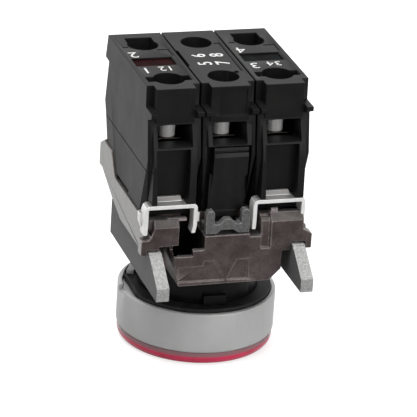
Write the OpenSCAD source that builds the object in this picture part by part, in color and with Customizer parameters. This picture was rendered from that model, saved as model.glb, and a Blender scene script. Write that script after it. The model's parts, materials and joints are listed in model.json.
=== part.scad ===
// Illuminated push button for a 22 mm panel hole, with its fixing collar,
// two contact blocks and a light block. The panel's front face is z = 0,
// the wiring side is +z and the pressed face looks towards -z.

/* [Head] */
// How far the metal bezel reaches past the barrel
bezel_over = 3.5; // [2.5:0.1:5]
// Thickness of the bezel's side wall
bezel_wall = 1.95; // [1.5:0.05:2.4]
// Front edge of the bezel in front of the panel
bezel_front = 8.35; // [6:0.05:12]
// Radius of the barrel where it passes the panel
barrel_r = 11; // [10:0.05:11.1]
// Depth of barrel left free for the panel
panel_room = 6.2; // [3:0.1:8]
// Step from the bezel's side in to the fixed coloured ring
ring_step = 0.2; // [0:0.05:0.6]
// How far the coloured ring stands in front of the bezel
ring_height = 2.2; // [1:0.1:4]
// Radius of the moving lens
lens_r = 11.75; // [9:0.05:12]
// Travel of the button
travel = 4.3; // [2:0.1:6]
// Thickness of the gasket
gasket_thick = 1.5; // [0.8:0.1:3]

/* [Fixing collar] */
// Half width of the collar at its sides
collar_half = 15.15; // [14:0.05:17]
// Front face of the collar, measured from the button's axis
collar_front = 16.3; // [15:0.1:18]
// Height of the collar's lower edge above the panel's front face
collar_low = 6.3; // [5:0.1:8]
// Height of the faces that carry the blocks
block_low = 18.8; // [16:0.1:22]
// Outer face of each clamp arm
arm_out = 14.48; // [13:0.05:16]
// Thickness of each clamp arm
arm_thick = 2.36; // [1.5:0.02:4]
// Length of a clamp arm in front of the axis
arm_reach = 22.7; // [18:0.1:26]
// Travel of the clamp
clamp_travel = 5.5; // [2:0.1:6]

/* [Blocks] */
// Spacing of the three blocks
pitch = 10; // [9:0.1:12]
// Width of one block
block_w = 9.7; // [8:0.05:10]
// Height of the blocks' top face
block_top = 42.7; // [36:0.1:50]
// Radius of a screwdriver hole
hole_r = 2.82; // [2:0.01:3.5]
// Distance of the front screws from the axis
screw_front = 7.9; // [6:0.1:10]
// Distance of the rear screws from the axis
screw_rear = 9.4; // [6:0.1:11]
// Radius of a terminal screw's shank
shank_r = 1.6; // [1:0.05:2]
// Distance of each contact plunger from the axis
plunger_x = 7.4; // [5.5:0.1:9]

/* [Hidden] */
$fn = 96;
tiny = 0.01;
run_gap = 0.1;
slide_gap = 0.2;
touch_gap = 0.02;
block_half = block_w / 2;
wall = 0.8;
space_front = -5;
space_rear = 6.4;
space_low = 20.4;
space_top = 35.6;
well_front = -5.6;
well_rear = 7.1;
bezel_r = barrel_r + bezel_over;
ring_r = bezel_r - ring_step;
seal_r = barrel_r + touch_gap;
lug_angle = 154;
web_low = -2.7;
skirt_in = bezel_r - bezel_wall;
ring_in = lens_r + slide_gap;
carrier_low = -8;
carrier_top = carrier_low + 0.4;
stem_r = 7.6;
barrel_in = 9.2;
ledge_low = 1.5;
ledge_top = 3.4;
barrel_top = 13.5;
neck_r = 10.2;
pusher_top = 14;
arm_in = arm_out - arm_thick;
foot = 6.5;
clamp_y = 18.2;
tail_top = 18.5;
screw_head_r = 2.25;
wire_low = 32.1;
wire_top = 35.9;
strip_low = 31.6;
strip_thick = 0.7;
strip_top = strip_low + strip_thick;
screw_below = 0.9;
leg_thick = 0.5;
clip_left = 5.3;
clip_right = 4.42;
clip_front = -15.6;
clip_back = -13.1;
clip_high = 21.75;
clip_low = 16.2;
clip_thick = 0.75;
rib_half = 4;
bridge_nc = 27.6;
contact_travel = 2.6;
bridge_thick = 0.7;
rivet_r = 0.7;
rivet_in = 1.7;
rivet_high = 0.3;
fixed_rivet = 0.7;
bridge_no = strip_low - fixed_rivet - contact_travel - rivet_high - bridge_thick - touch_gap;

// a box from its two ends along each axis
module box(x0, x1, y0, y1, z0, z1) {
    translate([x0, y0, z0])
        cube([x1 - x0, y1 - y0, z1 - z0]);
}

// an upright rod, and a rod with a hole
module rod(r, z0, z1, x = 0, y = 0) {
    translate([x, y, z0])
        cylinder(r = r, h = z1 - z0);
}

module tube(ro, ri, z0, z1) {
    difference() {
        rod(ro, z0, z1);
        rod(ri, z0 - 1, z1 + 1);
    }
}

// an outline in y and z carried along x, and one in x and z carried along y
module across(x0, x1, outline) {
    translate([x0, 0, 0])
        rotate([90, 0, 90])
            linear_extrude(x1 - x0)
                polygon(outline);
}

module along(y0, y1, outline) {
    translate([0, y1, 0])
        rotate([90, 0, 0])
            linear_extrude(y1 - y0)
                polygon(outline);
}

// a round wire wound into a spring with flat-lying ends
function coil_point(k, n, turns, r, z0, z1) =
    let (t = k / n,
        lead = min(max((t * turns - 0.75) / (turns - 1.5), 0), 1))
    [r * cos(360 * turns * t), r * sin(360 * turns * t), z0 + (z1 - z0) * lead];

module coil(r, wire, z0, z1, turns, sides = 8, steps = 24) {
    n = round(turns * steps);
    low = z0 + wire;
    high = z1 - wire;
    points = [for (k = [0:n])
        let (p = coil_point(k, n, turns, r, low, high),
            a = 360 * turns * k / n)
        for (s = [0:sides - 1])
            [p[0] + wire * cos(360 * s / sides) * cos(a),
            p[1] + wire * cos(360 * s / sides) * sin(a),
            p[2] + wire * sin(360 * s / sides)]];
    walls = [for (k = [0:n - 1])
        for (s = [0:sides - 1])
            let (q = (s + 1) % sides)
            [k * sides + s, k * sides + q, (k + 1) * sides + q, (k + 1) * sides + s]];
    ends = [[for (s = [0:sides - 1]) sides - 1 - s],
        [for (s = [0:sides - 1]) n * sides + s]];
    polyhedron(points = points, faces = concat(walls, ends), convexity = 10);
}

// head

module bezel() {
    rim = 0.8;
    color([0.66, 0.66, 0.66])
    difference() {
        union() {
            rotate_extrude()
                polygon([[skirt_in, -bezel_front], [bezel_r - 0.25, -bezel_front],
                    [bezel_r, -bezel_front + 0.25], [bezel_r, -0.85],
                    [bezel_r - 0.18, -0.67], [bezel_r - rim, -0.67],
                    [bezel_r - rim, -gasket_thick], [seal_r, -gasket_thick],
                    [seal_r, web_low], [skirt_in, web_low]]);
            rotate([0, 0, lug_angle])
                box(bezel_r - 2.95, bezel_r - 1.6, -1.6, 1.6, -gasket_thick - tiny, 0.7);
        }
        // notch in the rim for turning the head
        rotate([0, 0, 181])
            box(bezel_r - 1.1, bezel_r + 1, -1.6, 1.6, -1.9, 0);
    }
}

module gasket() {
    edge_r = bezel_r - 0.9;
    flat_x = bezel_r - 2;
    color([0.1, 0.1, 0.1])
    difference() {
        intersection() {
            tube(edge_r, seal_r, -gasket_thick, 0);
            box(-flat_x, edge_r + 1, -edge_r - 1, edge_r + 1, -gasket_thick, 0);
        }
        rotate([0, 0, lug_angle])
            box(bezel_r - 3.1, bezel_r - 1.45, -1.75, 1.75, -gasket_thick - 1, 1);
    }
}

module barrel() {
    lug_r = 11.05;
    color([0.13, 0.13, 0.14])
    difference() {
        union() {
            rotate_extrude()
                polygon([[barrel_in, web_low - 0.3], [barrel_r + 0.7, web_low - 0.3],
                    [barrel_r + 0.7, web_low], [barrel_r, web_low],
                    [barrel_r, panel_room], [neck_r, panel_room], [neck_r, barrel_top],
                    [barrel_in, barrel_top], [barrel_in, ledge_top],
                    [stem_r + run_gap, ledge_top], [stem_r + run_gap, ledge_low],
                    [barrel_in, ledge_low]]);
            for (a = [30, 150, 270])
                rotate([0, 0, a])
                    intersection() {
                        box(neck_r - 0.3, lug_r, -2.4, 2.4, 9.6, 11.4);
                        rod(lug_r, 9, 12);
                    }
        }
        for (a = [35, 90, 145])
            rotate([0, 0, a])
                box(barrel_in - 1, neck_r + 2, -1.6, 1.6, barrel_top - 1.6, barrel_top + 1);
    }
}

module colour_ring() {
    edge = 0.45;
    low = -bezel_front - ring_height;
    color([0.77, 0.18, 0.32, 0.8])
    rotate_extrude()
        polygon([[ring_in, low], [ring_r - edge, low], [ring_r - 0.12, low + edge],
            [ring_r, low + 0.9], [ring_r, -bezel_front], [skirt_in, -bezel_front],
            [skirt_in, -5.4], [ring_in, -5.4]]);
}

module lens() {
    front = -bezel_front - ring_height - 0.35;
    color([0.77, 0.1, 0.2, 0.8])
    difference() {
        rotate_extrude()
            polygon([[0, front], [lens_r - 1.2, front + 0.12], [lens_r - 0.35, front + 0.45],
                [lens_r, front + 0.95], [lens_r, carrier_low], [0, carrier_low]]);
        rod(lens_r - 1.1, front + 1.6, carrier_low + 1);
    }
}

module carrier() {
    bore = 6.3;
    color([0.85, 0.85, 0.83])
    difference() {
        union() {
            rod(lens_r - 0.1, carrier_low, carrier_top);
            tube(lens_r - 1.15, lens_r - 1.85, carrier_low - 0.8, carrier_low + tiny);
            rod(stem_r, carrier_top - tiny, ledge_top + 0.2);
        }
        rod(bore, carrier_low - 1, ledge_top + 1);
    }
}

module pusher() {
    flange = ledge_top + 0.2;
    color([0.8, 0.8, 0.78])
    difference() {
        union() {
            rod(barrel_in - slide_gap, flange, flange + 1.3);
            rod(8.4, flange + 1.3 - tiny, pusher_top);
        }
        rod(6.3, flange - 1, pusher_top + 1);
        for (a = [90, 270])
            rotate([0, 0, a])
                box(5, 9, -1.8, 1.8, 8.5, pusher_top + 1);
    }
}

module return_spring() {
    color([0.7, 0.71, 0.72])
    coil(8.42, 0.34, carrier_top, ledge_low, 5.5);
}

// fixing collar

post_top = 18.92;
clip_leg_left = -pitch - clip_left + clip_thick + 0.45;

side_outline = [[-14.6, 12.6], [-14.6, block_low - 0.1], [5.2, block_low - 0.1],
    [8.4, 22.7], [12.5, 22.7], [12.9, 23.3], [16.1, 21.5], [16.1, 17.2], [14.2, 17.3],
    [6.5, 14.35], [0.5, 12.6]];

module collar_body() {
    across(-collar_half, collar_half, side_outline);
    // the boss round the barrel, and the front apron with its rounded corner
    rod(11.9, collar_low, 13);
    along(-collar_front, -9, [[-8.65, collar_low], [8.3, collar_low + 0.1], [10.4, 8.5],
        [10.4, 12.7], [-9.65, 12.7], [-9.65, 11]]);
    // front posts that the two clips hook over
    along(-collar_front, -14.1, [[-14.9, 13.5], [-8.8, 13.5], [-8.8, post_top],
        [-13.45, post_top], [-13.6, 17.4], [-14.15, 16]]);
    box(-collar_half - 0.7, -12.5, -collar_front, -14.2, 12.65, 15.5);
    box(8, 14.15, -collar_front, -14, 12, post_top + 0.25);
    box(6.3, 8.05, -collar_front + 0.5, -14, 12, 18.3);
    along(-collar_front, -14.2, [[12.5, 12.2], [collar_half + 0.7, 12.2],
        [collar_half + 0.7, 15], [collar_half - 0.2, 15.6], [14.1, 16], [12.5, 16]]);
    box(-4.15, 4.2, -collar_front, -12, 11, 15.7);
    box(-6.2, -4.1, -collar_front, -12, 11, 13.05);
    box(4.1, 6.35, -collar_front, -12, 11, 15.1);
    // the tail that takes the clamp screw
    box(-4.6, 4.6, 13.5, 20.8, 13.4, tail_top);
}

module collar() {
    emboss = 0.35;
    color([0.4, 0.36, 0.35])
    union() {
        collar_casting(emboss);
        // ledge beside the left post and nub on the right one
        box(-10.9, -7.4, -collar_front + 0.1, -14.3, post_top - 0.35, post_top + 0.2);
        box(8.1, 9.45, -collar_front, -14.7, post_top + 0.2, post_top + 1.05);
    }
}

module collar_casting(emboss) {
    difference() {
        collar_body();
        // bayonet bore and the hollow above it
        rod(neck_r + run_gap, collar_low - 1, barrel_top + 0.4);
        rod(9.7, barrel_top, 30);
        rod(11.3, 9.2, 11.8);
        // pockets for the clamp arms
        for (s = [-1, 1])
            translate([s * (arm_in + arm_thick / 2), 0, 0])
                box(-arm_thick / 2 - 0.18, arm_thick / 2 + 0.18, -30, 9.1, 4, 13.6);
        // deep recess left of the apron, and the slot to its right
        box(-8.95, -6.2, -20, -9.2, 11.95, 20);
        box(-6.25, -4.15, -20, -9.2, 13.05, 20);
        box(-8.95, -4.15, -15.2, -9.2, 8.8, 20);
        box(-12.5, -8.9, -20, -13, 12, 14.2);
        // slot down the apron's left side
        box(-12, -9.05, -15.5, -14.7, collar_low - 1, 12.2);
        box(4.2, 6.3, -20, -12, 15.1, 20);
        box(-4.15, 4.2, -20, -11.8, 15.7, 20);
        // raised arrow on the apron, left by two shallow panels
        along(-collar_front - 1, -collar_front + emboss, [[-8.8, 7], [-0.1, 7], [-2, 10.9],
            [-4.1, 10.9], [-4.1, 9.9], [-8.8, 9.9]]);
        along(-collar_front - 1, -collar_front + emboss, [[0.3, 7], [4.2, 7], [4.2, 10.8],
            [2, 10.8]]);
        // openings under the blocks and the light block's snout
        box(-13.2, 13.2, -6, 7, 16.2, 30);
        // hole for the clamp screw, and room for its head
        rod(1.75 + 0.08, 10, 30, 0, clamp_y);
        rod(screw_head_r + slide_gap, tail_top, 30, 0, clamp_y);
        // room for the clips' outer legs, then pockets that lighten the casting
        box(-17, clip_leg_left, -16.6, clip_back + 0.7, clip_low - 0.15, 25);
        box(13.25, 17, clip_front - 0.1, clip_back + 0.7, clip_low - 0.1, 25);
        for (x = [-13.9, 6.1])
            box(x, x + 7.8, 8.5, 11, 14.6, 30);
        for (s = [-1, 1])
            translate([s * 10.3, 0, 0])
                box(-3.6, 3.6, -12.9, -8.9, 14.5, 30);
    }
}

module clamp_stirrup() {
    bar_low = 7;
    bar_top = 9.6;
    arm_outline = [[8.8, foot], [8.8, 13.2], [-16.9, 13.2], [-16.9, 12.9], [-17.75, 12.5],
        [-arm_reach, 9], [-arm_reach, foot]];
    color([0.5, 0.5, 0.5])
    difference() {
        union() {
            for (s = [-1, 1])
                translate([s * (arm_in + arm_thick / 2), 0, 0])
                    across(-arm_thick / 2, arm_thick / 2, arm_outline);
            translate([0, 0, bar_low])
                linear_extrude(bar_top - bar_low)
                    polygon([[-13, 3], [-arm_out, 3], [-arm_out, 8.8], [-9, 14.9], [-4.4, 14.9],
                        [-4.4, 20.6], [4.4, 20.6], [4.4, 14.9], [9, 14.9], [arm_out, 8.8],
                        [arm_out, 3], [13, 3], [0, 10]]);
        }
        rod(12.1, 4, 14);
        // socket that the screw's foot turns in
        rod(1.2 + run_gap, bar_low - 1, bar_top + 1, 0, clamp_y);
    }
}

module clamp_screw() {
    seat = 9.6;
    head_low = tail_top + clamp_travel + slide_gap;
    head_top = head_low + 2.5;
    slot_w = 0.8;
    color([0.78, 0.78, 0.76])
    difference() {
        union() {
            rod(1.2, 7.3, seat + touch_gap + tiny, 0, clamp_y);
            rod(1.75, seat + touch_gap, head_low, 0, clamp_y);
            rod(screw_head_r, head_low - tiny, head_top - 0.3, 0, clamp_y);
            rod(screw_head_r - 0.3, head_top - 0.3 - tiny, head_top, 0, clamp_y);
        }
        translate([0, clamp_y, 0]) {
            box(-slot_w / 2, slot_w / 2, -1.6, 1.6, head_top - 1.3, head_top + 1);
            box(-1.6, 1.6, -slot_w / 2, slot_w / 2, head_top - 1.3, head_top + 1);
        }
    }
}

module lock_lever() {
    front = -16.1;
    back = -14.6;
    color([0.62, 0.62, 0.61])
    difference() {
        union() {
            along(front, back, [[-4.05, 15.95], [-2, 15.95], [-1.1, 16.65], [1.1, 16.65],
                [2, 15.95], [4.05, 15.95], [4.05, 19.6], [3.7, 20.3], [2.9, 20.4],
                [2.5, 19.9], [2.5, 17.75], [1.5, 17.75], [0.55, 18.7], [-0.55, 18.7],
                [-1.5, 17.75], [-2.5, 17.75], [-2.5, 19.9], [-2.9, 20.4], [-3.7, 20.3],
                [-4.05, 19.6]]);
            box(-4, 4, back - tiny, -12.2, 15.95, 17.3);
        }
        box(-2.4, 2.4, -13.9, -11, 15, 19);
    }
}

// contact and light blocks

body_outline = [[-10.9, block_top], [-11.1, 38.8], [-14.9, 38.75], [-14.9, 37.95],
    [-12.8, 37], [-14.1, 29.6], [-12.6, 21.3], [-12.5, block_low], [5.1, block_low],
    [8.3, 22.8], [12.2, 22.8], [12.7, 23.2], [14.3, 27.7], [15.4, 30.1], [14, 38],
    [16.3, 38.05], [16.3, 38.55], [15.3, block_top]];

// front ribs that run down to the clip
rib_outline = [[-12.4, clip_high + touch_gap], [-15.4, clip_high + touch_gap],
    [-15.1, 28.9], [-14.6, 31.5], [-12.7, 36.4], [-12.4, 36.4]];

// outer shape of a block, before its hollows
module block_shell() {
    difference() {
        across(-block_half, block_half, body_outline);
        box(-3.6, 3.55, -20, -13.1, 36.4, 44);
        // the front corners are cut away towards the foot
        for (s = [0, 1])
            mirror([s, 0, 0])
                translate([-block_half, -13.8, 29.2])
                    rotate([0, -9, 28])
                        box(-4, 0, -6, 6, -14, 4);
    }
    box(-3.6, 3.5, -13.1, -10.8, 36.3, block_top);
    across(-rib_half, rib_half, rib_outline);
}

// hollows that all three blocks share: screw wells, wire mouths, recessed panels
module block_hollows() {
    for (y = [-screw_front, screw_rear]) {
        rod(hole_r, wire_top, block_top + 1, 0, y);
        rod(shank_r + slide_gap, strip_low - screw_below - slide_gap, wire_top, 0, y);
    }
    box(-3.1, 3.15, -16, well_front, wire_low, wire_top);
    box(-3.15, 3.15, well_rear, 18, wire_low, wire_top);
    box(-2.65, 2.8, -10.9, well_front, strip_low, 38.05);
    box(-2.8, 2.8, well_rear, 12.2, strip_low, 38.05);
    for (y = [well_front, space_rear])
        box(-2.45, 2.45, y - 0.1, y + 0.8, strip_low - 0.05, strip_top + 0.05);
    along(-20, -13, [[-3.4, 31.7], [2.75, 31.7], [2.72, 23.3], [2.3, clip_high - 0.1],
        [-3, clip_high - 0.1]]);
}

// the working space that the plunger and springs move in
module contact_space(px) {
    box(-block_half + wall, block_half - wall, space_front, space_rear, space_low, space_top);
    rod(1.3 + run_gap, block_low - 1, space_low + 0.1, px, 0);
}

module contact_housing(px) {
    difference() {
        block_shell();
        block_hollows();
        contact_space(px);
        // straight-sided screwdriver leads beside the holes
        box(-2.5, 2.5, 10, 13, wire_top + 2.1, block_top + 1);
        box(-4, 4, -9, -6.75, 40.3, block_top + 1);
        // window seat
        box(-4, 3.4, -1.3, 2.65, block_top - 1, block_top + 1);
        // shallow lines on the top face
        box(1.8, 3.9, 6.3, 6.6, block_top - 0.25, block_top + 1);
        box(3.75, 4.0, 3.3, 6.6, block_top - 0.25, block_top + 1);
        box(-4.1, -3, 8.2, 8.5, block_top - 0.25, block_top + 1);
        // slot for the clip's tail and slot low on the left face
        box(-3.5, 3.5, -13.5, -9.9, clip_high - clip_thick - 0.2, clip_high + 0.2);
        box(-block_half - 1, -block_half + 0.6, -2.9, 4.9, block_low - 1, 19.6);
    }
}

module contact_window() {
    box(-3.95, 3.35, -1.25, 2.6, block_top - 1, block_top - 0.3);
}

// bent strip that holds a block on the collar, with its tail in the block
module contact_clip() {
    left_in = clip_thick - clip_left;
    right_in = clip_right - clip_thick;
    under = clip_high - clip_thick;
    tab = 1;
    along(clip_front, clip_back, [[-clip_left - 0.05, clip_low], [-clip_left, clip_low + 3],
        [-clip_left, clip_high - 1.05], [-clip_left + 0.25, clip_high - 0.35],
        [-clip_left + 0.8, clip_high], [clip_right - 0.7, clip_high],
        [clip_right - 0.2, clip_high - 0.25], [clip_right, clip_high - 0.75],
        [clip_right, clip_low + 1.4], [clip_right - 0.28, clip_low],
        [right_in - 0.24, clip_low], [right_in, clip_low + 1.4], [right_in, under],
        [left_in, under], [left_in, clip_low + 1.4], [left_in - 0.08, clip_low]]);
    box(-3.3, 3.3, clip_back - tiny, -10, under, clip_high);
    along(-13.75, -13.15, [[-2.9, clip_high - 0.2], [2.15, clip_high - 0.2],
        [1.6, clip_high + tab], [-2.9, clip_high + tab]]);
}

module contact_plunger(px, seat) {
    rod(1.3, pusher_top + touch_gap, 21, px, 0);
    box(min(px, 0) - 1.1, max(px, 0) + 1.1, -1.4, 1.4, 20.9, 22.3);
    box(-1.1, 1.1, -1.4, 1.4, 22, seat);
    rod(0.8, seat - tiny, seat + 3, 0, 0);
}

// bridging bar with a contact button at each end
module contact_bridge(low, side) {
    difference() {
        box(-1.6, 1.6, space_front + 0.9, space_rear - 0.9, low, low + bridge_thick);
        rod(0.9, low - 1, low + 1.5, 0, 0);
    }
    for (y = [space_front + rivet_in, space_rear - rivet_in])
        if (side > 0)
            rod(rivet_r, low + bridge_thick - tiny, low + bridge_thick + rivet_high, 0, y);
        else
            rod(rivet_r, low - rivet_high, low + tiny, 0, y);
}

// fixed strip for one end of a block; y = 0 is the working space's end wall
module strip_end(depth) {
    outer = 5.1;
    foot_long = rivet_in + rivet_r + 0.1;
    foot_top = strip_low - depth + strip_thick;
    box(-2.4, 2.4, -outer, leg_thick, strip_low, strip_top);
    if (depth > 0) {
        box(-1.6, 1.6, touch_gap, leg_thick, strip_low - depth, strip_low + tiny);
        box(-1.6, 1.6, touch_gap, foot_long, strip_low - depth, foot_top);
        rod(rivet_r, foot_top - tiny, bridge_nc - rivet_high - touch_gap, 0, rivet_in);
    }
    else {
        box(-1.6, 1.6, touch_gap, foot_long, strip_low, strip_top);
        rod(rivet_r, strip_low - fixed_rivet, strip_low + tiny, 0, rivet_in);
    }
}

module contact_strips(depth) {
    difference() {
        union() {
            translate([0, space_front, 0])
                strip_end(depth);
            translate([0, space_rear, 0])
                rotate([0, 0, 180])
                    strip_end(depth);
        }
        for (y = [-screw_front, screw_rear])
            rod(shank_r, 20, 40, 0, y);
    }
}

module place(side) {
    translate([side * pitch, 0, 0])
        children();
}

module nc_housing() {
    color([0.2, 0.2, 0.2])
    place(-1)
        contact_housing(pitch - plunger_x);
}

module no_housing() {
    color([0.2, 0.2, 0.2])
    place(1)
        contact_housing(plunger_x - pitch);
}

module nc_window() {
    color([0.3, 0.06, 0.07])
    place(-1)
        contact_window();
}

module no_window() {
    color([0.06, 0.07, 0.06])
    place(1)
        contact_window();
}

module nc_clip() {
    color([0.88, 0.88, 0.86])
    place(-1) {
        contact_clip();
        // flared barb on the outer leg and stop on the inner one
        along(clip_back - 1, clip_back + 0.55, [[-clip_left + 0.3, clip_low + 0.1],
            [-clip_left + 0.3, clip_low + 3.9], [-clip_left - 0.1, clip_low + 3.9],
            [-clip_left - 0.5, clip_low + 3.7], [-clip_left - 0.4, clip_low + 2]]);
        box(clip_right - 0.1, clip_right + 0.7, -14.5, -13.9, clip_low + 1.7, clip_low + 3.5);
    }
}

module no_clip() {
    color([0.88, 0.88, 0.86])
    place(1)
        contact_clip();
}

module nc_plunger() {
    color([0.9, 0.9, 0.88])
    place(-1)
        contact_plunger(pitch - plunger_x, bridge_nc);
}

module no_plunger() {
    color([0.9, 0.9, 0.88])
    place(1)
        contact_plunger(plunger_x - pitch, bridge_no - (travel - contact_travel) - 0.05);
}

module nc_bridge() {
    color([0.75, 0.55, 0.3])
    place(-1)
        contact_bridge(bridge_nc, -1);
}

module no_bridge() {
    color([0.75, 0.55, 0.3])
    place(1)
        contact_bridge(bridge_no, 1);
}

module nc_spring() {
    color([0.7, 0.71, 0.72])
    place(-1)
        coil(1.5, 0.2, bridge_nc + bridge_thick, space_top, 5.5, 8, 20);
}

module no_spring() {
    color([0.7, 0.71, 0.72])
    place(1)
        coil(1.5, 0.2, bridge_no + bridge_thick, space_top, 5.5, 8, 20);
}

module nc_terminals() {
    color([0.75, 0.6, 0.35])
    place(-1)
        contact_strips(5.7);
}

module no_terminals() {
    color([0.75, 0.6, 0.35])
    place(1)
        contact_strips(0);
}

module light_housing() {
    color([0.2, 0.2, 0.2])
    difference() {
        union() {
            block_shell();
            tube(5.2, 4.2, 13.2, block_low + tiny);
        }
        block_hollows();
        // the board's space, open below into the snout
        box(-block_half + wall, block_half - wall, space_front, space_rear, space_low, space_top);
        rod(4.2, 12, space_low + 0.1);
        // sunken side step and shallow lines on the top face
        box(-block_half - 1, -block_half + 0.35, -2.2, 5.6, block_top - 3, block_top + 1);
        box(3.9, 4.15, -5.8, 8.5, block_top - 0.25, block_top + 1);
        box(3, 4.15, 8.3, 8.6, block_top - 0.25, block_top + 1);
        box(2.6, 3.3, -6.6, -5.9, block_top - 0.8, block_top + 1);
        // channel that the latch tongue lies in
        box(-rib_half - tiny, 4.15, -16, -12.3, 17, 31.9);
        // recess in the head's front face
        box(-1.9, 3, -14, -12.85, 37.4, block_top - 0.6);
    }
}

module light_latch() {
    color([0.24, 0.24, 0.24])
    difference() {
        union() {
            across(-2.75, 3.7, [[-12.35, 31.6], [-13.9, 31.5], [-14.3, 29.7], [-14, 26.5],
                [-13.4, 22.5], [-13.4, 19.2], [-12.35, 19.2]]);
            across(-2.05, 2.25, [[-12.35, 19.3], [-13.5, 19.3], [-13.5, 18.1],
                [-13, 17.6], [-12.35, 17.6]]);
            across(-3.2, -2.7, [[-12.35, 26.3], [-13.6, 26.3], [-13.4, 22.5],
                [-13.4, 19.2], [-12.35, 19.2]]);
        }
        box(-3, 4, -15, -13.75, 30.55, 30.8);
        box(3.3, 4, -16, -12.9, 19, 26);
    }
}

module light_board() {
    color([0.1, 0.35, 0.18])
    difference() {
        box(-3.95, 3.95, -4.6, 6.2, 24.4, 26);
        for (y = [-3.8, 5.4])
            rod(0.5, 20, 30, 0, y);
    }
}

module light_lamp() {
    color([0.9, 0.88, 0.8, 0.9])
    rotate_extrude()
        polygon([[0, 6.4], [1.3, 6.7], [2.1, 7.5], [2.4, 8.6], [2.4, 10.6], [2.9, 10.6],
            [2.9, 11.6], [1.9, 11.6], [1.9, 24.4], [0, 24.4]]);
}

module light_terminals() {
    color([0.75, 0.6, 0.35])
    difference() {
        union() {
            box(-2.4, 2.4, -10.1, -4.6, strip_low, strip_top);
            box(-0.9, 0.9, -4.75, -4.05, 26, strip_top);
            box(-2.4, 2.4, 6.2, 11.6, strip_low, strip_top);
            box(-0.9, 0.9, 5.65, 6.35, 26, strip_top);
        }
        for (y = [-screw_front, screw_rear])
            rod(shank_r, 20, 40, 0, y);
    }
}

module terminal_screws() {
    head_low = 36;
    color([0.8, 0.79, 0.77])
    for (x = [-pitch, 0, pitch])
        for (y = [-screw_front, screw_rear])
            translate([x, y, 0])
                difference() {
                    union() {
                        rod(shank_r, strip_low - screw_below, head_low + tiny);
                        rod(2.4, head_low, 38);
                    }
                    box(-0.35, 0.35, -1.7, 1.7, 37, 39);
                    box(-1.7, 1.7, -0.35, 0.35, 37, 39);
                }
}

module terminal_washers() {
    low = 35.3;
    color([0.7, 0.7, 0.68])
    for (x = [-pitch, 0, pitch])
        for (y = [-screw_front, screw_rear])
            translate([x, y, 0])
                difference() {
                    box(-2.45, 2.45, -2.2, 2.2, low, 36);
                    rod(shank_r, low - 1, 37);
                }
}

bezel();
gasket();
barrel();
colour_ring();
lens();
carrier();
pusher();
return_spring();
collar();
clamp_stirrup();
clamp_screw();
lock_lever();
nc_housing();
nc_window();
nc_clip();
nc_plunger();
nc_bridge();
nc_spring();
nc_terminals();
no_housing();
no_window();
no_clip();
no_plunger();
no_bridge();
no_spring();
no_terminals();
light_housing();
light_latch();
light_board();
light_lamp();
light_terminals();
terminal_screws();
terminal_washers();
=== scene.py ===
import json
import math

import bmesh
import bpy
from mathutils import Matrix, Vector


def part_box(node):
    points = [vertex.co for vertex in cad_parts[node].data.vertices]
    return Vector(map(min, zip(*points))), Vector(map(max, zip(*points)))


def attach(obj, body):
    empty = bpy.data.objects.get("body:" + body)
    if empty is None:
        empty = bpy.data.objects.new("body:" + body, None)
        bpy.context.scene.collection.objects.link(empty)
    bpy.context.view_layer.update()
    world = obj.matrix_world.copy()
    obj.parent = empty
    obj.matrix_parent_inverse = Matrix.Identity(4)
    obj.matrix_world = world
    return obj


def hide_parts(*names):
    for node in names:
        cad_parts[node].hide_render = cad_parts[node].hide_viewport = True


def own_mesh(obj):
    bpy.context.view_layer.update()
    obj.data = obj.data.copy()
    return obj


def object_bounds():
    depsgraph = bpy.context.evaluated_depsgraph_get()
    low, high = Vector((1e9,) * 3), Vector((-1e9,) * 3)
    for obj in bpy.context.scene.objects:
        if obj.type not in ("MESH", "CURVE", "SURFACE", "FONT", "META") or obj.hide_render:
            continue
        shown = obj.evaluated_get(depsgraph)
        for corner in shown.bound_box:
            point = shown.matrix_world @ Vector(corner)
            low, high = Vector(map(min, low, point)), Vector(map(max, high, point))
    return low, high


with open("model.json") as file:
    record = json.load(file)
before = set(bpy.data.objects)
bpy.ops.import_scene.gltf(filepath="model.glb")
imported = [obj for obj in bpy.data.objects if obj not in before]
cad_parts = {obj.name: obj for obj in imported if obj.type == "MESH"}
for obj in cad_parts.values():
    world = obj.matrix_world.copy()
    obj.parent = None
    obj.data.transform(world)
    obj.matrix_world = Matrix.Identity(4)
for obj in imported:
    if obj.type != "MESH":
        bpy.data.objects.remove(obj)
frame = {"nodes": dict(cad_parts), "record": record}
cad_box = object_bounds()

# ---------------------------------------------------------------------------
# The stand. The button stands on its pressed face, on a plain white table in
# a white studio, with soft light from above and a shaded side towards the camera.
# ---------------------------------------------------------------------------
MM = 0.001
WHITE = (1, 1, 1, 1)
scene = bpy.context.scene
scene.view_settings.view_transform = "Standard"


def aim(thing, place, target, roll=0.0):
    """Puts a camera or lamp at place, looking at target, turned by roll about its own axis."""
    forward = (target - place).normalized()
    side = forward.cross(Vector((0, 0, 1))).normalized()
    up = side.cross(forward)
    x_axis = side * math.cos(roll) + up * math.sin(roll)
    y_axis = up * math.cos(roll) - side * math.sin(roll)
    turn = Matrix((x_axis, y_axis, -forward)).transposed()
    thing.matrix_world = Matrix.Translation(place) @ turn.to_4x4()
    scene.collection.objects.link(thing)


view_azimuth = math.radians(17.752)
view_elevation = math.radians(23.497)
view_roll = math.radians(3.634)
view_distance = 580 * MM
view_target = Vector((0, 0, 6.5 * MM))
towards_camera = Vector((
    -math.sin(view_azimuth) * math.cos(view_elevation),
    -math.cos(view_azimuth) * math.cos(view_elevation),
    math.sin(view_elevation),
))
camera_data = bpy.data.cameras.new("camera")
camera_data.sensor_width = 36
camera_data.lens = 274.02
camera_data.shift_x = 0.02296
camera_data.shift_y = 0.09011
camera_data.clip_start = 0.05
camera_data.clip_end = 10
camera = bpy.data.objects.new("camera", camera_data)
aim(camera, view_target + towards_camera * view_distance, view_target, view_roll)
scene.camera = camera

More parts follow.
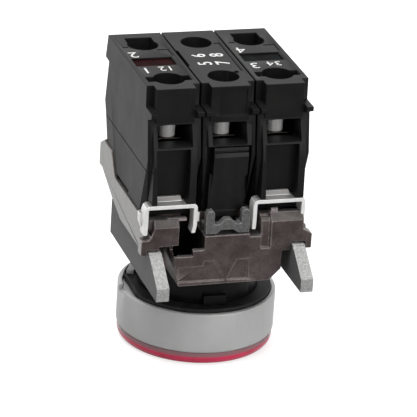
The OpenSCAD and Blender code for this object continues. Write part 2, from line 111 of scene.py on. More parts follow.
# Mirror-like faces show the front lamp only: the others would lie as grey sheets on the tops.
lamp_target = Vector((0, 0, 0.015))
for name, place, width, power in (
    ("lamp_above", (-0.12, -0.10, 0.75), 0.55, 6.8),
    ("lamp_front", (0.30, -0.65, 0.25), 0.50, 2.5),
    ("lamp_behind", (0.20, 0.60, 0.40), 0.50, 3.0),
):
    lamp = bpy.data.lights.new(name, "AREA")
    lamp.size = width
    lamp.energy = power
    holder = bpy.data.objects.new(name, lamp)
    holder.visible_glossy = name == "lamp_front"
    aim(holder, Vector(place), lamp_target)


class Value:
    """A number on a shader socket. Arithmetic on it adds Math nodes to its tree."""

    def __init__(self, tree, socket):
        self.tree = tree
        self.socket = socket

    def maths(self, operation, *others, swapped=False):
        operands = [self, *others]
        if swapped:
            operands.reverse()
        return self.tree.node("Math", {"operation": operation}, dict(enumerate(operands)))

    def __add__(self, other):
        return self.maths("ADD", other)

    def __radd__(self, other):
        return self.maths("ADD", other)

    def __sub__(self, other):
        return self.maths("SUBTRACT", other)

    def __rsub__(self, other):
        return self.maths("SUBTRACT", other, swapped=True)

    def __mul__(self, other):
        return self.maths("MULTIPLY", other)

    def __rmul__(self, other):
        return self.maths("MULTIPLY", other)

    def __truediv__(self, other):
        return self.maths("DIVIDE", other)

    def __rtruediv__(self, other):
        return self.maths("DIVIDE", other, swapped=True)

    def over(self, low, high):
        """0 below low, 1 above high, and a smooth step between them."""
        settings = {"interpolation_type": "SMOOTHSTEP"}
        links = {"Value": self, "From Min": low, "From Max": high}
        return self.tree.node("MapRange", settings, links)


class Tree:
    """A node tree being built: a material's, or the world's."""

    def __init__(self, owner):
        owner.use_nodes = True
        self.tree = owner.node_tree

    def node(self, kind, settings=None, links=None, out=0):
        """A new node, settings first, then its sockets' values or links. Returns one output."""
        made = self.tree.nodes.new(kind if "Node" in kind else "ShaderNode" + kind)
        for key, value in (settings or {}).items():
            setattr(made, key, value)
        for key, value in (links or {}).items():
            if isinstance(value, Value):
                self.tree.links.new(value.socket, made.inputs[key])
            else:
                made.inputs[key].default_value = value
        return Value(self, made.outputs[out])

    def place(self, part="Object"):
        return self.node("TexCoord", out=part)

    def axis(self, name, place=None):
        return self.node("SeparateXYZ", links={0: place or self.place()}, out=name)

    def blend(self, factor, first, second):
        """One colour turning into another."""
        return self.node("Mix", {"data_type": "RGBA"}, {0: factor, 6: first, 7: second}, out=2)

    def join(self, factor, first, second):
        """One shader turning into another."""
        return self.node("MixShader", links={0: factor, 1: first, 2: second})

    def end(self, kind, value):
        """The finished shader, linked to the tree's output node."""
        last = next(n for n in self.tree.nodes if n.bl_idname == kind)
        self.tree.links.new(value.socket, last.inputs["Surface"])


def seen_directly(tree):
    """1 for what the camera, a mirror or glass sees, 0 for light on its way to the object."""
    rays = ("Is Camera Ray", "Is Glossy Ray", "Is Transmission Ray")
    eye, mirror, glass = (tree.node("LightPath", out=ray) for ray in rays)
    return (eye + mirror + glass).over(0, 1)


shade_grey = (0.25, 0.25, 0.255, 1)


def shaded_side(tree, y, near, far):
    """White behind the object, falling to dark grey in front of it."""
    return tree.blend(y.over(near, far), shade_grey, WHITE)


sky_strength = 0.28
world = bpy.data.worlds.new("studio")
scene.world = world
sky = Tree(world)
sky_y = sky.axis("Y", sky.place("Generated"))
sky_seen = sky.node("Background", links={0: WHITE, 1: 1.0})
sky_glossy = sky.node("Background", links={0: shaded_side(sky, sky_y, -0.75, 0.15), 1: 1.0})
sky_soft = sky.node("Background", links={0: WHITE, 1: sky_strength})
sky_mirror = sky.join(sky.node("LightPath", out="Is Glossy Ray"), sky_seen, sky_glossy)
sky.end("ShaderNodeOutputWorld", sky.join(seen_directly(sky), sky_soft, sky_mirror))

# The table lies just clear of the button, and from below it can be looked through.
table_half = 3.0
table_gap = 0.02 * MM
table_grey = (0.42, 0.42, 0.42, 1)
table_glow = 0.72
table_soft_grey = (0.3, 0.3, 0.3, 1)
table_mesh = bpy.data.meshes.new("table")
table_corners = [
    (x * table_half, y * table_half) for x, y in ((-1, -1), (1, -1), (1, 1), (-1, 1))
]
table_low = cad_box[0].z - table_gap
table_mesh.from_pydata([(x, y, table_low) for x, y in table_corners], [], [(0, 1, 2, 3)])
table = bpy.data.objects.new("table", table_mesh)
scene.collection.objects.link(table)
table_finish = bpy.data.materials.new("white_table")
cover = Tree(table_finish)
cover_seen = cover.node("AddShader", links={
    0: cover.node("BsdfDiffuse", links={0: table_grey}),
    1: cover.node("Emission", links={0: WHITE, 1: table_glow}),
})
cover_shade = shaded_side(cover, cover.axis("Y"), -0.12, 0.02)
cover_glossy = cover.node("Emission", links={0: cover_shade, 1: 1.0})
cover_mirror = cover.join(cover.node("LightPath", out="Is Glossy Ray"), cover_seen, cover_glossy)
cover_soft = cover.node("BsdfDiffuse", links={0: table_soft_grey})
cover_top = cover.join(seen_directly(cover), cover_soft, cover_mirror)
cover_below = cover.node("NewGeometry", out="Backfacing")
cover_both = cover.join(cover_below, cover_top, cover.node("BsdfTransparent"))
cover.end("ShaderNodeOutputMaterial", cover_both)
table_mesh.materials.append(table_finish)

# ---------------------------------------------------------------------------
# The three block bodies: moulded in a near-black glass-filled plastic, with
# matt faces, softened edges and a parting line where cover and base meet.
# ---------------------------------------------------------------------------
body_of_node = {
    node: body
    for body, nodes in frame["record"]["behaviour"]["bodies"].items()
    for node in nodes
}
SOCKETS = {
    "rough": "Roughness", "metal": "Metallic", "ior": "IOR", "shine": "Specular IOR Level",
    "coat": "Coat Weight", "coat_rough": "Coat Roughness", "clear": "Transmission Weight",
    "inside": "Subsurface Weight", "depth": "Subsurface Scale",
}
smooth_below = 30


class Finish(Tree):
    """A material with one Principled shader, whose even values are set on its own sockets."""

    def __init__(self, name, **even):
        self.material = bpy.data.materials.new(name)
        super().__init__(self.material)
        self.shader = self.tree.nodes["Principled BSDF"]
        for key, value in even.items():
            self.shader.inputs[SOCKETS[key]].default_value = value

    def feed(self, socket, value):
        self.tree.links.new(value.socket, self.shader.inputs[socket])

    def noise(self, size, detail=3.0, rough=0.55, stretch=(1, 1, 1)):
        """Cloudy noise whose lumps measure about size metres."""
        place = self.place()
        if stretch != (1, 1, 1):
            place = self.node("Mapping", links={"Vector": place, "Scale": stretch})
        links = {"Vector": place, "Scale": 1 / size, "Detail": detail, "Roughness": rough}
        return self.node("TexNoise", links=links)

    def clouded(self, clouds, dark, light, low=0.35, high=0.65):
        """A dark colour turning into a light one with the lumps of a noise."""
        return self.blend(clouds.over(low, high), (*dark, 1), (*light, 1))

    def edges(self, radius, low=0.02, high=0.3):
        """1 along the edges of the piece, 0 on its faces."""
        soft = self.node("Bevel", {"samples": 6}, {"Radius": radius})
        flat = self.node("NewGeometry", out="True Normal")
        product = {"operation": "DOT_PRODUCT"}
        same = self.node("VectorMath", product, {0: soft, 1: flat}, out="Value")
        return (1 - same).over(low, high)

    def facing(self, axis):
        """How far the surface faces along an axis, from -1 to 1."""
        return self.axis(axis, self.node("NewGeometry", out="True Normal"))

    def bumps(self, height, distance, strength):
        links = {"Height": height, "Distance": distance, "Strength": strength}
        self.feed("Normal", self.node("Bump", links=links))


def moulded(name, dark, light, rough, seam=None, shine=0.16):
    """Matt moulded plastic with a fine spark-eroded grain and slightly rubbed edges.

    Where a height is given for the seam, a parting line runs round the sides there.
    """
    finish = Finish(name, shine=shine, ior=1.5)
    clouds = finish.noise(4 * MM, detail=4)
    streaks = finish.noise(2.2 * MM, detail=2, stretch=(1, 1, 0.12))
    fine = finish.noise(0.09 * MM, detail=2)
    tone = clouds * 0.5 + streaks * 0.35 + fine * 0.15
    colour = finish.clouded(tone, dark, light, 0.36, 0.64)
    rubbed = finish.edges(0.12 * MM) * finish.noise(0.7 * MM).over(0.35, 0.65)
    colour = finish.blend(rubbed * 0.4, colour, (0.06, 0.06, 0.061, 1))
    height = fine * 0.5 + clouds * 0.2
    roughness = clouds * 0.14 + fine * 0.1 + (rough - 0.12)
    if seam is not None:
        line = finish.axis("Z") - seam
        line = 1 - line.maths("ABSOLUTE").over(0.06 * MM, 0.16 * MM)
        line = line * finish.facing("X").maths("ABSOLUTE").over(0.8, 0.95)
        colour = finish.blend(line * 0.75, colour, (0.004, 0.004, 0.004, 1))
        height = height - line * 3
        roughness = roughness + line * 0.5
    finish.feed("Base Color", colour)
    finish.feed("Roughness", roughness)
    finish.bumps(height, 0.02 * MM, 0.5)
    return finish.material


def cad_copy(node):
    """A copy of a CAD node's mesh, with its points merged and its flat faces joined."""
    work = bmesh.new()
    work.from_mesh(frame["nodes"][node].data)
    bmesh.ops.remove_doubles(work, verts=work.verts, dist=0.004 * MM)
    bmesh.ops.dissolve_degenerate(work, edges=work.edges, dist=0.002 * MM)
    bmesh.ops.dissolve_limit(
        work, angle_limit=math.radians(0.6), verts=work.verts, edges=work.edges,
        use_dissolve_boundaries=False,
    )
    return work


def finished(name, work, material):
    """The bmesh as an object at the origin, of one material, with smooth shading on its curves."""
    mesh = bpy.data.meshes.new(name)
    work.to_mesh(mesh)
    work.free()
    mesh.materials.append(material)
    mesh.shade_smooth()
    mesh.set_sharp_from_angle(angle=math.radians(smooth_below))
    piece = bpy.data.objects.new(name, mesh)
    scene.collection.objects.link(piece)
    return piece


def plain_mesh(thing):
    """What an object looks like once its modifiers have run, or its letters are filled."""
    bpy.context.view_layer.update()
    seen = thing.evaluated_get(bpy.context.evaluated_depsgraph_get())
    return bpy.data.meshes.new_from_object(seen)


def baked(piece):
    """The piece with its modifiers applied."""
    mesh = plain_mesh(piece)
    piece.modifiers.clear()
    old = piece.data
    piece.data = mesh
    bpy.data.meshes.remove(old)
    return piece


def rounded(piece, radius):
    """The piece with its edges rounded, and its big faces shaded flat."""
    bevel = piece.modifiers.new("edges", "BEVEL")
    bevel.width = radius
    bevel.segments = 2
    bevel.limit_method = "ANGLE"
    bevel.angle_limit = math.radians(35)
    bevel.use_clamp_overlap = False
    bevel.miter_outer = "MITER_ARC"
    bevel.harden_normals = True
    return baked(piece)


def fixed(piece, node):
    """The piece stands for a CAD node: it rides on the node's body, and the node is hidden."""
    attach(piece, body_of_node[node])
    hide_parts(node)


block_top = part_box("light_housing")[1].z
print_depth = 0.03 * MM
block_edge = 0.10 * MM
cover_seam = 27.7 * MM
block_finish = moulded(
    "block_plastic", (0.0065, 0.0065, 0.0065), (0.0105, 0.0105, 0.0102), 0.42, seam=cover_seam,
)
for node in ("nc_housing", "light_housing", "no_housing"):
    work = cad_copy(node)
    # The tops lie lower by the print's depth, which keeps the numbers within the block's height.
    for point in work.verts:
        if point.co.z > block_top - 0.001 * MM:
            point.co.z -= print_depth
    body = finished(node.replace("housing", "body"), work, block_finish)
    fixed(rounded(body, block_edge), node)

# ---------------------------------------------------------------------------
# The terminal numbers, pad-printed in pale ink on the tops of the blocks. Those of
# the contact blocks read from the rear, the two columns of the light block sideways.
# ---------------------------------------------------------------------------
ink = Finish("pale_ink", rough=0.6, shine=0.3)
ink_cover = ink.noise(0.35 * MM, detail=3)
ink_colour = ink.clouded(ink_cover, (0.44, 0.44, 0.43), (0.64, 0.64, 0.63), 0.3, 0.6)
ink.feed("Base Color", ink_colour)
ink.bumps(ink_cover, 0.01 * MM, 0.4)
capital_height = 0.7


def printed(number, x, y, height, turn=180, spread=1.0, stroke=0.0):
    """A number printed on a block's top, centred on x and y and turned by turn degrees."""
    words = bpy.data.curves.new("number", "FONT")
    words.body = number
    words.size = height / capital_height
    words.align_x = "CENTER"
    words.align_y = "CENTER"
    words.extrude = print_depth / 2
    words.resolution_u = 3
    words.offset = stroke
    words.space_character = spread
    drawn = bpy.data.objects.new("number", words)
    scene.collection.objects.link(drawn)
    mesh = plain_mesh(drawn)
    bpy.data.objects.remove(drawn)
    work = bmesh.new()
    work.from_mesh(mesh)
    bmesh.ops.remove_doubles(work, verts=work.verts, dist=0.001 * MM)
    bmesh.ops.recalc_face_normals(work, faces=work.faces)
    place = Matrix.Translation((x, y, block_top - print_depth / 2))
    work.transform(place @ Matrix.Rotation(math.radians(turn), 4, "Z"))
    piece = finished("number_" + number.replace(" ", "_"), work, ink.material)
    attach(piece, "base")


block_pitch = 10 * MM
digit_height = 2.6 * MM
pair_height = 2.0 * MM
column_height = 2.5 * MM
column_spread = 1.35
column_stroke = 0.04 * MM
for side, rear, front, pair in ((-1, "2", "1", "12"), (1, "4", "3", "34")):
    printed(rear, side * block_pitch - 3.08 * MM, 4.5 * MM, digit_height)
    printed(front, side * block_pitch - 2.88 * MM, -3.45 * MM, digit_height)
    printed(pair, side * block_pitch + 0.9 * MM, -2.93 * MM, pair_height)
for column, x, y in (("5 6", -1.38 * MM, 0.58 * MM), ("7 8", 1.9 * MM, 0.46 * MM)):
    printed(column, x, y, column_height, turn=90, spread=column_spread, stroke=column_stroke)

# ---------------------------------------------------------------------------
# The marker windows: thin satin plates of tinted plastic pressed into the tops of
# the contact blocks, dark red on the closed contact, near black on the open one.
# ---------------------------------------------------------------------------


def dressed(node, name, material, edge):
    """A CAD node's shape with rounded edges and a finish of its own."""
    fixed(rounded(finished(name, cad_copy(node), material), edge), node)


def window_plate(name, deep, bright):
    """Tinted plastic with faint streaks across the window."""
    plate = Finish(name, shine=0.05, ior=1.15)
    tint = plate.noise(1.6 * MM, detail=3, stretch=(1, 0.4, 1))
    plate.feed("Base Color", plate.clouded(tint, deep, bright))
    plate.feed("Roughness", plate.noise(0.2 * MM, detail=2) * 0.15 + 0.22)
    plate.bumps(tint, 0.01 * MM, 0.3)
    return plate.material


window_edge = 0.06 * MM
red_plate = window_plate("dark_red_plate", (0.007, 0.0008, 0.001), (0.014, 0.0018, 0.0022))
black_plate = window_plate("black_plate", (0.0025, 0.003, 0.0028), (0.006, 0.007, 0.0065))
dressed("nc_window", "red_marker", red_plate, window_edge)
dressed("no_window", "black_marker", black_plate, window_edge)

# ---------------------------------------------------------------------------
# The terminal screws and their square clamping plates. Six of each, plated
# steel, standing in the screw wells in two rows of three.
# ---------------------------------------------------------------------------


class Layout(Tree):
    """A Geometry Nodes tree: a shape that is repeated, or that follows a rule."""

    def __init__(self, name, **sizes):
        self.tree = bpy.data.node_groups.new(name, "GeometryNodeTree")
        self.sizes = {}
        face = self.tree.interface
        for direction in ("OUTPUT", "INPUT"):
            face.new_socket("Shape", in_out=direction, socket_type="NodeSocketGeometry")
        for key, value in sizes.items():
            size = face.new_socket(key, in_out="INPUT", socket_type="NodeSocketFloat")
            self.sizes[size.identifier] = value

    def given(self, name):
        return self.node("NodeGroupInput", out=name)

    def point(self, x=0.0, y=0.0, z=0.0):
        return self.node("CombineXYZ", links={0: x, 1: y, 2: z})

    def made(self, name, shape, material, template=None, smooth=smooth_below):
        """The tree run once on a template mesh, as a plain mesh in an object."""
        shape = self.node("GeometryNodeRealizeInstances", links={0: shape})
        shape = self.node("GeometryNodeSetMaterial", links={0: shape, "Material": material})
        last = self.tree.nodes.new("NodeGroupOutput")
        self.tree.links.new(shape.socket, last.inputs[0])
        piece = bpy.data.objects.new(name, template or bpy.data.meshes.new(name))
        scene.collection.objects.link(piece)
        run = piece.modifiers.new("layout", "NODES")
        run.node_group = self.tree
        for key, value in self.sizes.items():
            run[key] = value
        baked(piece)
        piece.data.shade_smooth()
        piece.data.set_sharp_from_angle(angle=math.radians(smooth))
        return piece


def plated(name, dark, light, rough, metal=1.0, turned=0.0, shine=0.5):
    """Plated metal: cloudy and finely scratched, with turning marks where it came off a lathe."""
    finish = Finish(name, metal=metal, shine=shine)
    clouds = finish.noise(1.2 * MM, detail=4)
    fine = finish.noise(0.12 * MM, detail=2)
    marks = finish.noise(0.15 * MM, detail=2, stretch=(0.15, 0.15, 1))
    finish.feed("Base Color", finish.clouded(clouds, dark, light))
    finish.feed("Roughness", clouds * 0.12 + fine * 0.08 + (rough - 0.1))
    finish.bumps(fine * 0.4 + marks * (0.6 + turned), 0.006 * MM, 0.35 + turned)
    return finish.material


def one_of(node, y, reach):
    """The middle one of a CAD node's solids in the row at y, moved to the axis."""
    work = cad_copy(node)
    far = [v for v in work.verts if abs(v.co.x) > reach or abs(v.co.y - y) > reach]
    bmesh.ops.delete(work, geom=far, context="VERTS")
    work.transform(Matrix.Translation((0, -y, 0)))
    return work


screw_front = -7.9 * MM
screw_rear = 9.4 * MM
screw_reach = 4 * MM
screw_metal = plated(
    "screw_plating", (0.86, 0.845, 0.835), (0.95, 0.94, 0.93), 0.32,
    metal=0.2, turned=0.1, shine=0.9,
)
plate_metal = plated("clamp_plate_plating", (0.42, 0.41, 0.40), (0.60, 0.59, 0.58), 0.34)
for node, name, metal, edge, turn_step in (
    ("terminal_screws", "terminal_screws_six", screw_metal, 0.14 * MM, 37),
    ("terminal_washers", "clamp_plates_six", plate_metal, 0.10 * MM, 0),
):
    single = rounded(finished("single", one_of(node, screw_front, screw_reach), metal), edge)
    row = Layout(
        name, Pitch=block_pitch, Front=screw_front, Rear=screw_rear, Turn=math.radians(turn_step),
    )
    grid = row.node("GeometryNodeMeshGrid", links={
        "Size X": row.given("Pitch") * 2, "Size Y": row.given("Rear") - row.given("Front"),
        "Vertices X": 3, "Vertices Y": 2,
    })
    middle = row.point(y=(row.given("Front") + row.given("Rear")) * 0.5)
    grid = row.node("GeometryNodeTransform", links={0: grid, "Translation": middle})
    turn = row.point(z=row.node("GeometryNodeInputIndex") * row.given("Turn"))
    turn = row.node("FunctionNodeEulerToRotation", links={0: turn})
    many = row.node("GeometryNodeInstanceOnPoints", links={
        "Points": grid, "Instance": row.given("Shape"), "Rotation": turn,
    })
    fixed(row.made(name, many, metal, single.data), node)

# ---------------------------------------------------------------------------
# The fixed contact strips and the moving bridges: stamped brass, tinned where a
# wire is clamped, with silver contact buttons riveted on.
# ---------------------------------------------------------------------------
strip_edge = 0.08 * MM
bridge_edge = 0.06 * MM
# Painted shade: the fixed strips' brass is coloured near black, for the shade of the wire mouths
# they stand in; the bridges keep a bright brass.
mouth_shaded_brass = plated("strip_brass_painted_shade", (0.03, 0.027, 0.022), (0.055, 0.048, 0.04), 0.2)
bridge_brass = plated("bridge_brass", (0.50, 0.34, 0.14), (0.68, 0.50, 0.24), 0.26)
for side in ("nc", "no", "light"):
    dressed(side + "_terminals", side + "_strips", mouth_shaded_brass, strip_edge)
for side in ("nc", "no"):
    dressed(side + "_bridge", side + "_contact_bar", bridge_brass, bridge_edge)

# ---------------------------------------------------------------------------
# The contact plungers, moulded in white acetal. Each one slides in its block's
# foot, carries the bridge and is pushed by the button.
# ---------------------------------------------------------------------------


def waxy(name, dark, light, rough):
    """Pale, slightly waxy moulded plastic with faint flow marks."""
    finish = Finish(name, shine=0.4, inside=0.05, depth=0.4 * MM)
    flow = finish.noise(2.5 * MM, detail=4, stretch=(1, 1, 0.4))
    fine = finish.noise(0.15 * MM, detail=2)
    finish.feed("Base Color", finish.clouded(flow, dark, light))
    finish.feed("Roughness", fine * 0.12 + (rough - 0.06))
    finish.bumps(flow * 0.5 + fine * 0.5, 0.012 * MM, 0.4)
    return finish.material


moulded_edge = 0.12 * MM
acetal = waxy("white_acetal", (0.62, 0.62, 0.59), (0.72, 0.72, 0.69), 0.42)
for side in ("nc", "no"):
    dressed(side + "_plunger", side + "_push_pin", acetal, moulded_edge)

# ---------------------------------------------------------------------------
# The light block's circuit board, green glass laminate with copper tracks under
# the resist, and its clear lamp, which reaches down into the button.
# ---------------------------------------------------------------------------
resist = Finish("green_resist", rough=0.3, shine=0.4)
weave = resist.node("TexBrick", links={
    "Vector": resist.place(), "Scale": 900.0, "Mortar Size": 0.06,
    "Color1": (0.012, 0.10, 0.035, 1), "Color2": (0.018, 0.13, 0.045, 1),
    "Mortar": (0.05, 0.20, 0.08, 1),
})
resist_lumps = resist.noise(0.6 * MM).over(0.4, 0.6)
resist.feed("Base Color", resist.blend(resist_lumps, weave, (0.02, 0.12, 0.05, 1)))
resist.bumps(resist.noise(0.3 * MM, detail=2), 0.01 * MM, 0.4)
board_edge = 0.06 * MM
dressed("light_board", "lamp_board", resist.material, board_edge)
bulb = Finish("lamp_glass", clear=0.85, ior=1.46, shine=0.5)
bulb_clouds = bulb.noise(1.5 * MM, detail=3)
bulb_colour = bulb.clouded(bulb_clouds, (0.86, 0.84, 0.78), (0.95, 0.94, 0.90), 0.3, 0.7)
bulb.feed("Base Color", bulb_colour)
bulb.feed("Roughness", bulb_clouds * 0.08 + 0.03)
bulb_edge = 0.08 * MM
dressed("light_lamp", "signal_lamp", bulb.material, bulb_edge)

# ---------------------------------------------------------------------------
# The light block's tongue, a springy finger moulded in the same black plastic,
# which snaps over the collar at the front.
# ---------------------------------------------------------------------------
tongue_finish = moulded(
    "tongue_plastic", (0.006, 0.006, 0.006), (0.011, 0.011, 0.011), 0.4, shine=0.2,
)
dressed("light_latch", "latch_tongue", tongue_finish, moulded_edge)

# ---------------------------------------------------------------------------
# The two clips that hold the contact blocks on the collar: bent from bright
# nickel-plated spring strip. Faces that look up are painted dark, as painted shade.
# ---------------------------------------------------------------------------
clip_edge = 0.10 * MM
tab_foot = 21.8 * MM
tab_fade = 0.1 * MM
nickel_finish = Finish("nickel_strip", metal=0.35)
nickel_clouds = nickel_finish.noise(1.5 * MM, detail=3)
bright_edge = nickel_finish.clouded(
    nickel_clouds, (0.90, 0.895, 0.88), (0.96, 0.955, 0.94), 0.3, 0.7,
)
# The bent tab, above tab_foot, is coloured a darker grey.
bent_tab = nickel_finish.axis("Z").over(tab_foot, tab_foot + tab_fade)
strip_colour = nickel_finish.blend(bent_tab, bright_edge, (0.42, 0.41, 0.40, 1))
# Painted shade: faces that look up are coloured dark grey, for the shade of the recess they lie in.
upward = nickel_finish.facing("Z").over(0.75, 0.9)
clip_colour = nickel_finish.blend(upward * 0.9, strip_colour, (0.13, 0.13, 0.128, 1))
rolled_lines = nickel_finish.noise(0.12 * MM, detail=2, stretch=(1, 0.1, 1))
nickel_finish.feed("Base Color", clip_colour)
nickel_finish.feed("Roughness", nickel_clouds * 0.1 + 0.3)
nickel_finish.bumps(rolled_lines, 0.005 * MM, 0.4)
for side in ("nc", "no"):
    dressed(side + "_clip", side + "_strip_clip", nickel_finish.material, clip_edge)

# ---------------------------------------------------------------------------
# The fixing collar, pressure-cast in zinc alloy and left raw: brown-grey, cloudy
# and sandy from the die, paler where its edges are rubbed.
# ---------------------------------------------------------------------------


def grainy(
    name, dark, light, worn, rough, lump, wear, speck=0.16 * MM, metal=0.0, shine=0.5,
    band=0.3 * MM, tops=None, side_shading_colour=None, side_shading_from=0.0, shaded_pocket=None,
):
    """A cloudy, speckled surface with paler rubbed edges.

    Tops may have a colour of their own. Sides that face along X and lie further out than a given
    distance take a colour of their own, as painted light where it is paler and painted shade where
    it is darker; a pocket, given as the range it fills along each axis, is painted nearly black, as
    painted shade.
    """
    finish = Finish(name, shine=shine)
    clouds = finish.noise(lump, detail=5, rough=0.6)
    specks = finish.noise(speck, detail=2)
    mottle = (clouds * 0.75 + specks * 0.25).over(0.36, 0.64)
    colour = finish.blend(mottle, (*dark, 1), (*light, 1))
    bare = 1.0
    if tops:
        upward = finish.facing("Z").over(0.45, 0.75) * (mottle * 0.4 + 0.6)
        colour = finish.blend(upward, colour, (*tops, 1))
        bare = bare - upward * 0.7
    # Painted light and shade: sides facing along X take their own colour, paler on the collar,
    # darker on the stirrup arms.
    if side_shading_colour:
        painted_side_shading = finish.facing("X").maths("ABSOLUTE").over(0.7, 0.9) * (mottle * 0.2 + 0.8)
        painted_side_shading = painted_side_shading * finish.axis("X").maths("ABSOLUTE").over(side_shading_from, side_shading_from + 0.1 * MM)
        colour = finish.blend(painted_side_shading, colour, (*side_shading_colour, 1))
        bare = bare - painted_side_shading * 0.5
    pits = 1 - finish.noise(speck * 1.6, detail=1).over(0.3, 0.4)
    colour = finish.blend(pits * 0.5, colour, (*(tone * 0.45 for tone in dark), 1))
    patches = finish.noise(0.6 * MM).over(0.25, 0.6) * 0.6 + 0.4
    rubbed = finish.edges(band, 0.002, 0.09) * patches * wear
    colour = finish.blend(rubbed, colour, (*worn, 1))
    # Painted shade: the pocket is coloured nearly black.
    if shaded_pocket:
        inside = 1.0
        fade = 0.02 * MM
        for axis, (low, high) in shaded_pocket.items():
            reading = finish.axis(axis)
            inside = inside * reading.over(low - fade, low) * (1 - reading.over(high, high + fade))
        colour = finish.blend(inside, colour, (0.004, 0.0035, 0.0035, 1))
    finish.feed("Base Color", colour)
    if metal:
        finish.feed("Metallic", bare * (1 - rubbed * 0.85) * metal)
    finish.feed("Roughness", clouds * 0.14 + specks * 0.12 + (rough - 0.13))
    finish.bumps(clouds * 0.5 + specks * 0.35 - pits * 0.4, 0.02 * MM, 0.6)
    return finish.material


# Painted light and shade: the outer sides are coloured pale grey as painted light, and the front
# pocket is coloured near black as painted shade in the recess.
zinc = grainy(
    "raw_zinc", (0.075, 0.058, 0.054), (0.125, 0.100, 0.094), (0.34, 0.30, 0.29), 0.36,
    lump=2.4 * MM, wear=0.8, metal=0.75, band=0.4 * MM,
    tops=(0.12, 0.115, 0.11), side_shading_colour=(0.36, 0.355, 0.35), side_shading_from=14 * MM,
    shaded_pocket={"X": (-8.9 * MM, -4.2 * MM), "Y": (-15.1 * MM, -9 * MM), "Z": (8.8 * MM, 18 * MM)},
)
# The front posts slope back above slope_low.
casting = cad_copy("collar")
casting_edge = 0.16 * MM
slope_low = 17.75 * MM
slope_front = -14.9 * MM
slope_rate = 0.9
slope_most = 1.1 * MM
parts = [*casting.verts, *casting.edges, *casting.faces]
bmesh.ops.bisect_plane(casting, geom=parts, plane_co=(0, 0, slope_low), plane_no=(0, 0, 1))
for point in casting.verts:
    if point.co.z > slope_low + 0.01 * MM and point.co.y < slope_front:
        point.co.y += min(slope_rate * (point.co.z - slope_low), slope_most)
fixed(rounded(finished("collar_casting", casting, zinc), casting_edge), "collar")

# ---------------------------------------------------------------------------
# The clamping stirrup: two arms joined behind the barrel, sintered steel with a
# sandy grey skin. Its feet press on the back of the panel.
# ---------------------------------------------------------------------------
# Painted shade: the flat sides of the arms are coloured dark grey.
sintered = grainy(
    "sintered_steel", (0.25, 0.25, 0.25), (0.44, 0.44, 0.43), (0.58, 0.58, 0.57), 0.55,
    lump=0.35 * MM, wear=0.35, speck=0.11 * MM, shine=0.15, side_shading_colour=(0.115, 0.115, 0.115),
)
arm_edge = 0.14 * MM
dressed("clamp_stirrup", "stirrup_arms", sintered, arm_edge)

# ---------------------------------------------------------------------------
# The clamp screw, turned in steel and zinc plated, with a cross slot. It drives
# the stirrup down against the panel.
# ---------------------------------------------------------------------------
zinc_plating = plated(
    "zinc_plating", (0.48, 0.49, 0.50), (0.66, 0.67, 0.67), 0.3, turned=0.4,
)
clamp_screw_edge = 0.12 * MM
dressed("clamp_screw", "clamp_screw_turned", zinc_plating, clamp_screw_edge)

# ---------------------------------------------------------------------------
# The lock lever, a small fork moulded in grey plastic at the front of the
# collar. It is pulled forwards to free the blocks.
# ---------------------------------------------------------------------------
grey_fork = grainy(
    "grey_plastic", (0.075, 0.075, 0.075), (0.14, 0.14, 0.138), (0.40, 0.40, 0.39), 0.5,
    lump=0.4 * MM, wear=0.7, speck=0.12 * MM, shine=0.3,
)
fork_edge = 0.14 * MM
dressed("lock_lever", "lever_fork", grey_fork, fork_edge)

# ---------------------------------------------------------------------------
# The bezel, turned and satin-plated in light grey, with a notch in its rim and a
# lug that keeps the head from turning in the panel.
# ---------------------------------------------------------------------------
satin = Finish("satin_bezel", metal=0.15, shine=0.3)
satin_clouds = satin.noise(3 * MM, detail=4)
satin_lines = satin.noise(0.1 * MM, detail=2, stretch=(0.12, 0.12, 1))
satin_colour = satin.clouded(satin_clouds, (0.475, 0.48, 0.475), (0.495, 0.50, 0.495))
satin.feed("Base Color", satin_colour)
satin.feed("Roughness", satin_clouds * 0.06 + satin_lines * 0.08 + 0.33)
satin.bumps(satin_lines * 0.7 + satin_clouds * 0.3, 0.005 * MM, 0.4)
bezel_edge = 0.12 * MM
dressed("bezel", "bezel_shell", satin.material, bezel_edge)

# ---------------------------------------------------------------------------
# The gasket, a black rubber ring set in the bezel, which seals the head against
# the panel. Its surface is matt and a little dusty.
# ---------------------------------------------------------------------------
rubber = Finish("black_rubber", shine=0.3)
dust = rubber.noise(1.8 * MM, detail=5, rough=0.6)
rubber_grain = rubber.noise(0.1 * MM, detail=2)
rubber_colour = rubber.clouded(dust, (0.011, 0.011, 0.0115), (0.024, 0.024, 0.0245), 0.45, 0.7)
rubber.feed("Base Color", rubber_colour)
rubber.feed("Roughness", dust * 0.2 + 0.5)
rubber.bumps(rubber_grain, 0.015 * MM, 0.6)
gasket_edge = 0.14 * MM
dressed("gasket", "gasket_ring", rubber.material, gasket_edge)

# ---------------------------------------------------------------------------
# The barrel: a black glass-filled tube that passes the panel, with bayonet lugs
# for the collar and a small key at its foot.
# ---------------------------------------------------------------------------
barrel_finish = moulded(
    "barrel_plastic", (0.003, 0.003, 0.0035), (0.006, 0.006, 0.0065), 0.36, shine=0.12,
)
tube = cad_copy("barrel")
key_size = Vector((4.3, 1.1, 1.85)) * MM
key_place = Vector((-0.15, -11.4, 0.98)) * MM
key_matrix = Matrix.Translation(key_place) @ Matrix.Diagonal((*key_size, 1))
bmesh.ops.create_cube(tube, size=1, matrix=key_matrix)
fixed(rounded(finished("barrel_tube", tube, barrel_finish), moulded_edge), "barrel")

# ---------------------------------------------------------------------------
# The fixed coloured ring and the moving lens inside it, both moulded in red
# translucent plastic with a polished skin.
# ---------------------------------------------------------------------------


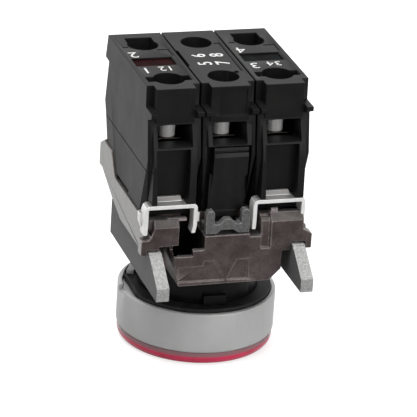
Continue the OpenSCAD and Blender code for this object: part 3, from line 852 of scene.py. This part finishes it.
def tinted(name, deep, bright, rough, pale_from=None):
    """Red translucent plastic with a polished skin.

    From the height pale_from upwards it is greyer, because the bezel shows through it there.
    """
    finish = Finish(
        name, inside=0.35, depth=1.2 * MM, ior=1.49, shine=0.32, coat=0.08, coat_rough=0.08,
    )
    flow = finish.noise(3 * MM, detail=4)
    colour = finish.clouded(flow, deep, bright)
    if pale_from is not None:
        fade = 0.7 * MM
        pale = finish.axis("Z").over(pale_from - fade, pale_from)
        colour = finish.blend(pale, colour, (0.30, 0.15, 0.17, 1))
    finish.feed("Base Color", colour)
    finish.feed("Roughness", finish.noise(0.4 * MM, detail=3) * 0.08 + (rough - 0.04))
    finish.bumps(flow, 0.01 * MM, 0.3)
    return finish.material


ring_pale_from = -8.85 * MM
ring_red = tinted("red_ring", (0.62, 0.014, 0.07), (0.72, 0.022, 0.10), 0.2, ring_pale_from)
lens_red = tinted("red_lens", (0.42, 0.010, 0.035), (0.54, 0.018, 0.06), 0.24)
dressed("colour_ring", "coloured_ring", ring_red, moulded_edge)
dressed("lens", "button_lens", lens_red, moulded_edge)

# ---------------------------------------------------------------------------
# The lens carrier and the pusher, moulded in white plastic and snapped together
# through the barrel's ledge. They carry the button's stroke to the contacts.
# ---------------------------------------------------------------------------
white_moulding = waxy("white_moulding", (0.58, 0.58, 0.56), (0.68, 0.68, 0.66), 0.46)
dressed("carrier", "lens_carrier", white_moulding, moulded_edge)
dressed("pusher", "push_sleeve", white_moulding, moulded_edge)

# ---------------------------------------------------------------------------
# The three compression springs, wound from bright steel wire with closed ends.
# One returns the button, the others press the contact bridges.
# ---------------------------------------------------------------------------
wire_steel = plated("spring_wire", (0.55, 0.56, 0.57), (0.72, 0.73, 0.74), 0.24)
all_turns = 5.5
end_turns = 0.75
coil_steps = 200
wire_sides = 12
coil_smooth = 60
return_size = (8.42 * MM, 0.34 * MM)
contact_size = (1.5 * MM, 0.2 * MM)
spring_top = 35.6 * MM
for node, name, joint, x, (coil_radius, wire), low, high, keep in (
    ("return_spring", "return_coil", "press", 0, return_size, -7.6 * MM, 1.5 * MM, 0.527),
    ("nc_spring", "nc_coil", "nc_travel", -block_pitch, contact_size, 28.3 * MM, spring_top, 0.411),
    ("no_spring", "no_coil", "no_close", block_pitch, contact_size, 27.98 * MM, spring_top, 0.659),
):
    coil = Layout(
        name, Centre=x, Radius=coil_radius, Wire=wire, Low=low + wire, High=high - wire,
        Turns=all_turns,
    )
    line = coil.node("GeometryNodeMeshLine", links={"Count": coil_steps + 1})
    along = coil.node("GeometryNodeInputIndex") / coil_steps
    turned = along * coil.given("Turns")
    lead = (turned - end_turns) / (coil.given("Turns") - 2 * end_turns)
    lead = lead.maths("MAXIMUM", 0.0).maths("MINIMUM", 1.0)
    angle = turned * (2 * math.pi)
    place = coil.point(
        coil.given("Centre") + coil.given("Radius") * angle.maths("COSINE"),
        coil.given("Radius") * angle.maths("SINE"),
        coil.given("Low") + (coil.given("High") - coil.given("Low")) * lead,
    )
    line = coil.node("GeometryNodeSetPosition", links={0: line, "Position": place})
    path = coil.node("GeometryNodeMeshToCurve", links={0: line})
    section = coil.node("GeometryNodeCurvePrimitiveCircle", links={
        "Resolution": wire_sides, "Radius": coil.given("Wire"),
    })
    wound = coil.node("GeometryNodeCurveToMesh", links={
        0: path, "Profile Curve": section, "Fill Caps": True,
    })
    piece = coil.made(name, wound, wire_steel, smooth=coil_smooth)
    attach(piece, "base")
    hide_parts(node)
    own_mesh(piece)
